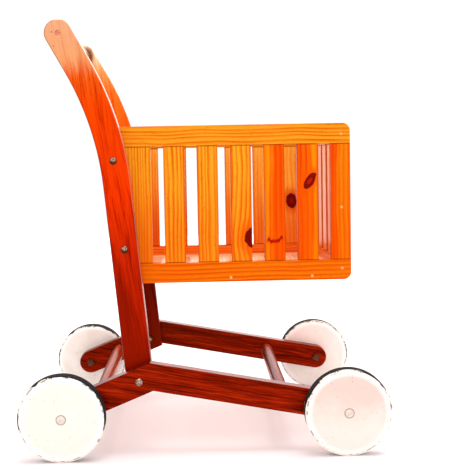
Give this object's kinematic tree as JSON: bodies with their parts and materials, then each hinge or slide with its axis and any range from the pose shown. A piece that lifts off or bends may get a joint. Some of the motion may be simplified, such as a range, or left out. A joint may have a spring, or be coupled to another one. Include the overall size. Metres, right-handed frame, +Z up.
{
  "type": "toy shopping cart",
  "caption": "Child's wooden push cart shaped like a shopping cart: slatted basket on curved uprights, bent chassis rails, round handlebar and freely turning wheels.",
  "frame": {"origin": "on the floor, below the middle of the wheelbase and midway between the two sides", "axes": "+X towards the front (basket end), +Y towards the cart's left side, +Z up"},
  "size_m": [0.471, 0.3086, 0.5565],
  "materials": {
    "varnished_pine": "orange varnished pine with visible grain and red-brown knots, satin gloss",
    "orange_red_stained_wood": "orange-red stain worn paler towards the top, satin",
    "dark_red_stained_wood": "dark red-brown stain with streaky grain, satin",
    "bare_dowel": "pale pinkish beech dowel, hardly stained, satin",
    "white_painted_wood": "white paint over wood, slightly yellowed, small chips at the rim",
    "black_tyre": "matt black rubber band with white paint worn over its edge",
    "white_painted_steel": "white paint over a steel bolt head",
    "dull_steel": "dull zinc-plated steel, slightly browned",
    "nail_steel": "small flat heads under varnish"
  },
  "bodies": {
    "cart": {"basket_bolts": "dull_steel", "basket_floor_left_rail": "varnished_pine", "basket_floor_right_rail": "varnished_pine", "basket_floor_slat_1": "varnished_pine", "basket_floor_slat_2": "varnished_pine", "basket_floor_slat_3": "varnished_pine", "basket_floor_slat_4": "varnished_pine", "basket_floor_slat_5": "varnished_pine", "basket_floor_slat_6": "varnished_pine", "basket_floor_slat_7": "varnished_pine", "basket_front_bottom_rail": "varnished_pine", "basket_front_slats": "varnished_pine", "basket_front_top_rail": "varnished_pine", "basket_left_bottom_rail": "varnished_pine", "basket_left_front_stile": "varnished_pine", "basket_left_rear_stile": "varnished_pine", "basket_left_slat_1": "varnished_pine", "basket_left_slat_2": "varnished_pine", "basket_left_slat_3": "varnished_pine", "basket_left_slat_4": "varnished_pine", "basket_left_slat_5": "varnished_pine", "basket_left_top_rail": "varnished_pine", "basket_nails": "nail_steel", "basket_rear_bottom_rail": "varnished_pine", "basket_rear_slats": "varnished_pine", "basket_rear_top_rail": "varnished_pine", "basket_right_bottom_rail": "varnished_pine", "basket_right_front_stile": "varnished_pine", "basket_right_rear_stile": "varnished_pine", "basket_right_slat_1": "varnished_pine", "basket_right_slat_2": "varnished_pine", "basket_right_slat_3": "varnished_pine", "basket_right_slat_4": "varnished_pine", "basket_right_slat_5": "varnished_pine", "basket_right_top_rail": "varnished_pine", "chassis_bolts": "dull_steel", "frame_nuts": "dull_steel", "front_cross_dowel": "bare_dowel", "handlebar": "bare_dowel", "handlebar_screws": "nail_steel", "left_chassis_rail": "dark_red_stained_wood", "left_upright": "orange_red_stained_wood", "rear_cross_dowel": "bare_dowel", "right_chassis_rail": "dark_red_stained_wood", "right_upright": "orange_red_stained_wood", "wheel_bolts": "white_painted_steel", "wheel_nuts": "dull_steel", "wheel_washers": "dull_steel"},
    "front_left_wheel_set": {"front_left_wheel": "white_painted_wood", "front_left_tyre": "black_tyre"},
    "front_right_wheel_set": {"front_right_wheel": "white_painted_wood", "front_right_tyre": "black_tyre"},
    "rear_left_wheel_set": {"rear_left_wheel": "white_painted_wood", "rear_left_tyre": "black_tyre"},
    "rear_right_wheel_set": {"rear_right_wheel": "white_painted_wood", "rear_right_tyre": "black_tyre"}
  },
  "joints": [
    {"name": "front_left_wheel_spin", "type": "hinge", "parent": "cart", "child": "front_left_wheel_set", "pos_m": [0.1805, 0.1434, 0.055], "axis": [0, 1, 0], "continuous": true},
    {"name": "front_right_wheel_spin", "type": "hinge", "parent": "cart", "child": "front_right_wheel_set", "pos_m": [0.1805, -0.1434, 0.055], "axis": [0, 1, 0], "continuous": true},
    {"name": "rear_left_wheel_spin", "type": "hinge", "parent": "cart", "child": "rear_left_wheel_set", "pos_m": [-0.1805, 0.1434, 0.055], "axis": [0, 1, 0], "continuous": true},
    {"name": "rear_right_wheel_spin", "type": "hinge", "parent": "cart", "child": "rear_right_wheel_set", "pos_m": [-0.1805, -0.1434, 0.055], "axis": [0, 1, 0], "continuous": true}
  ]
}
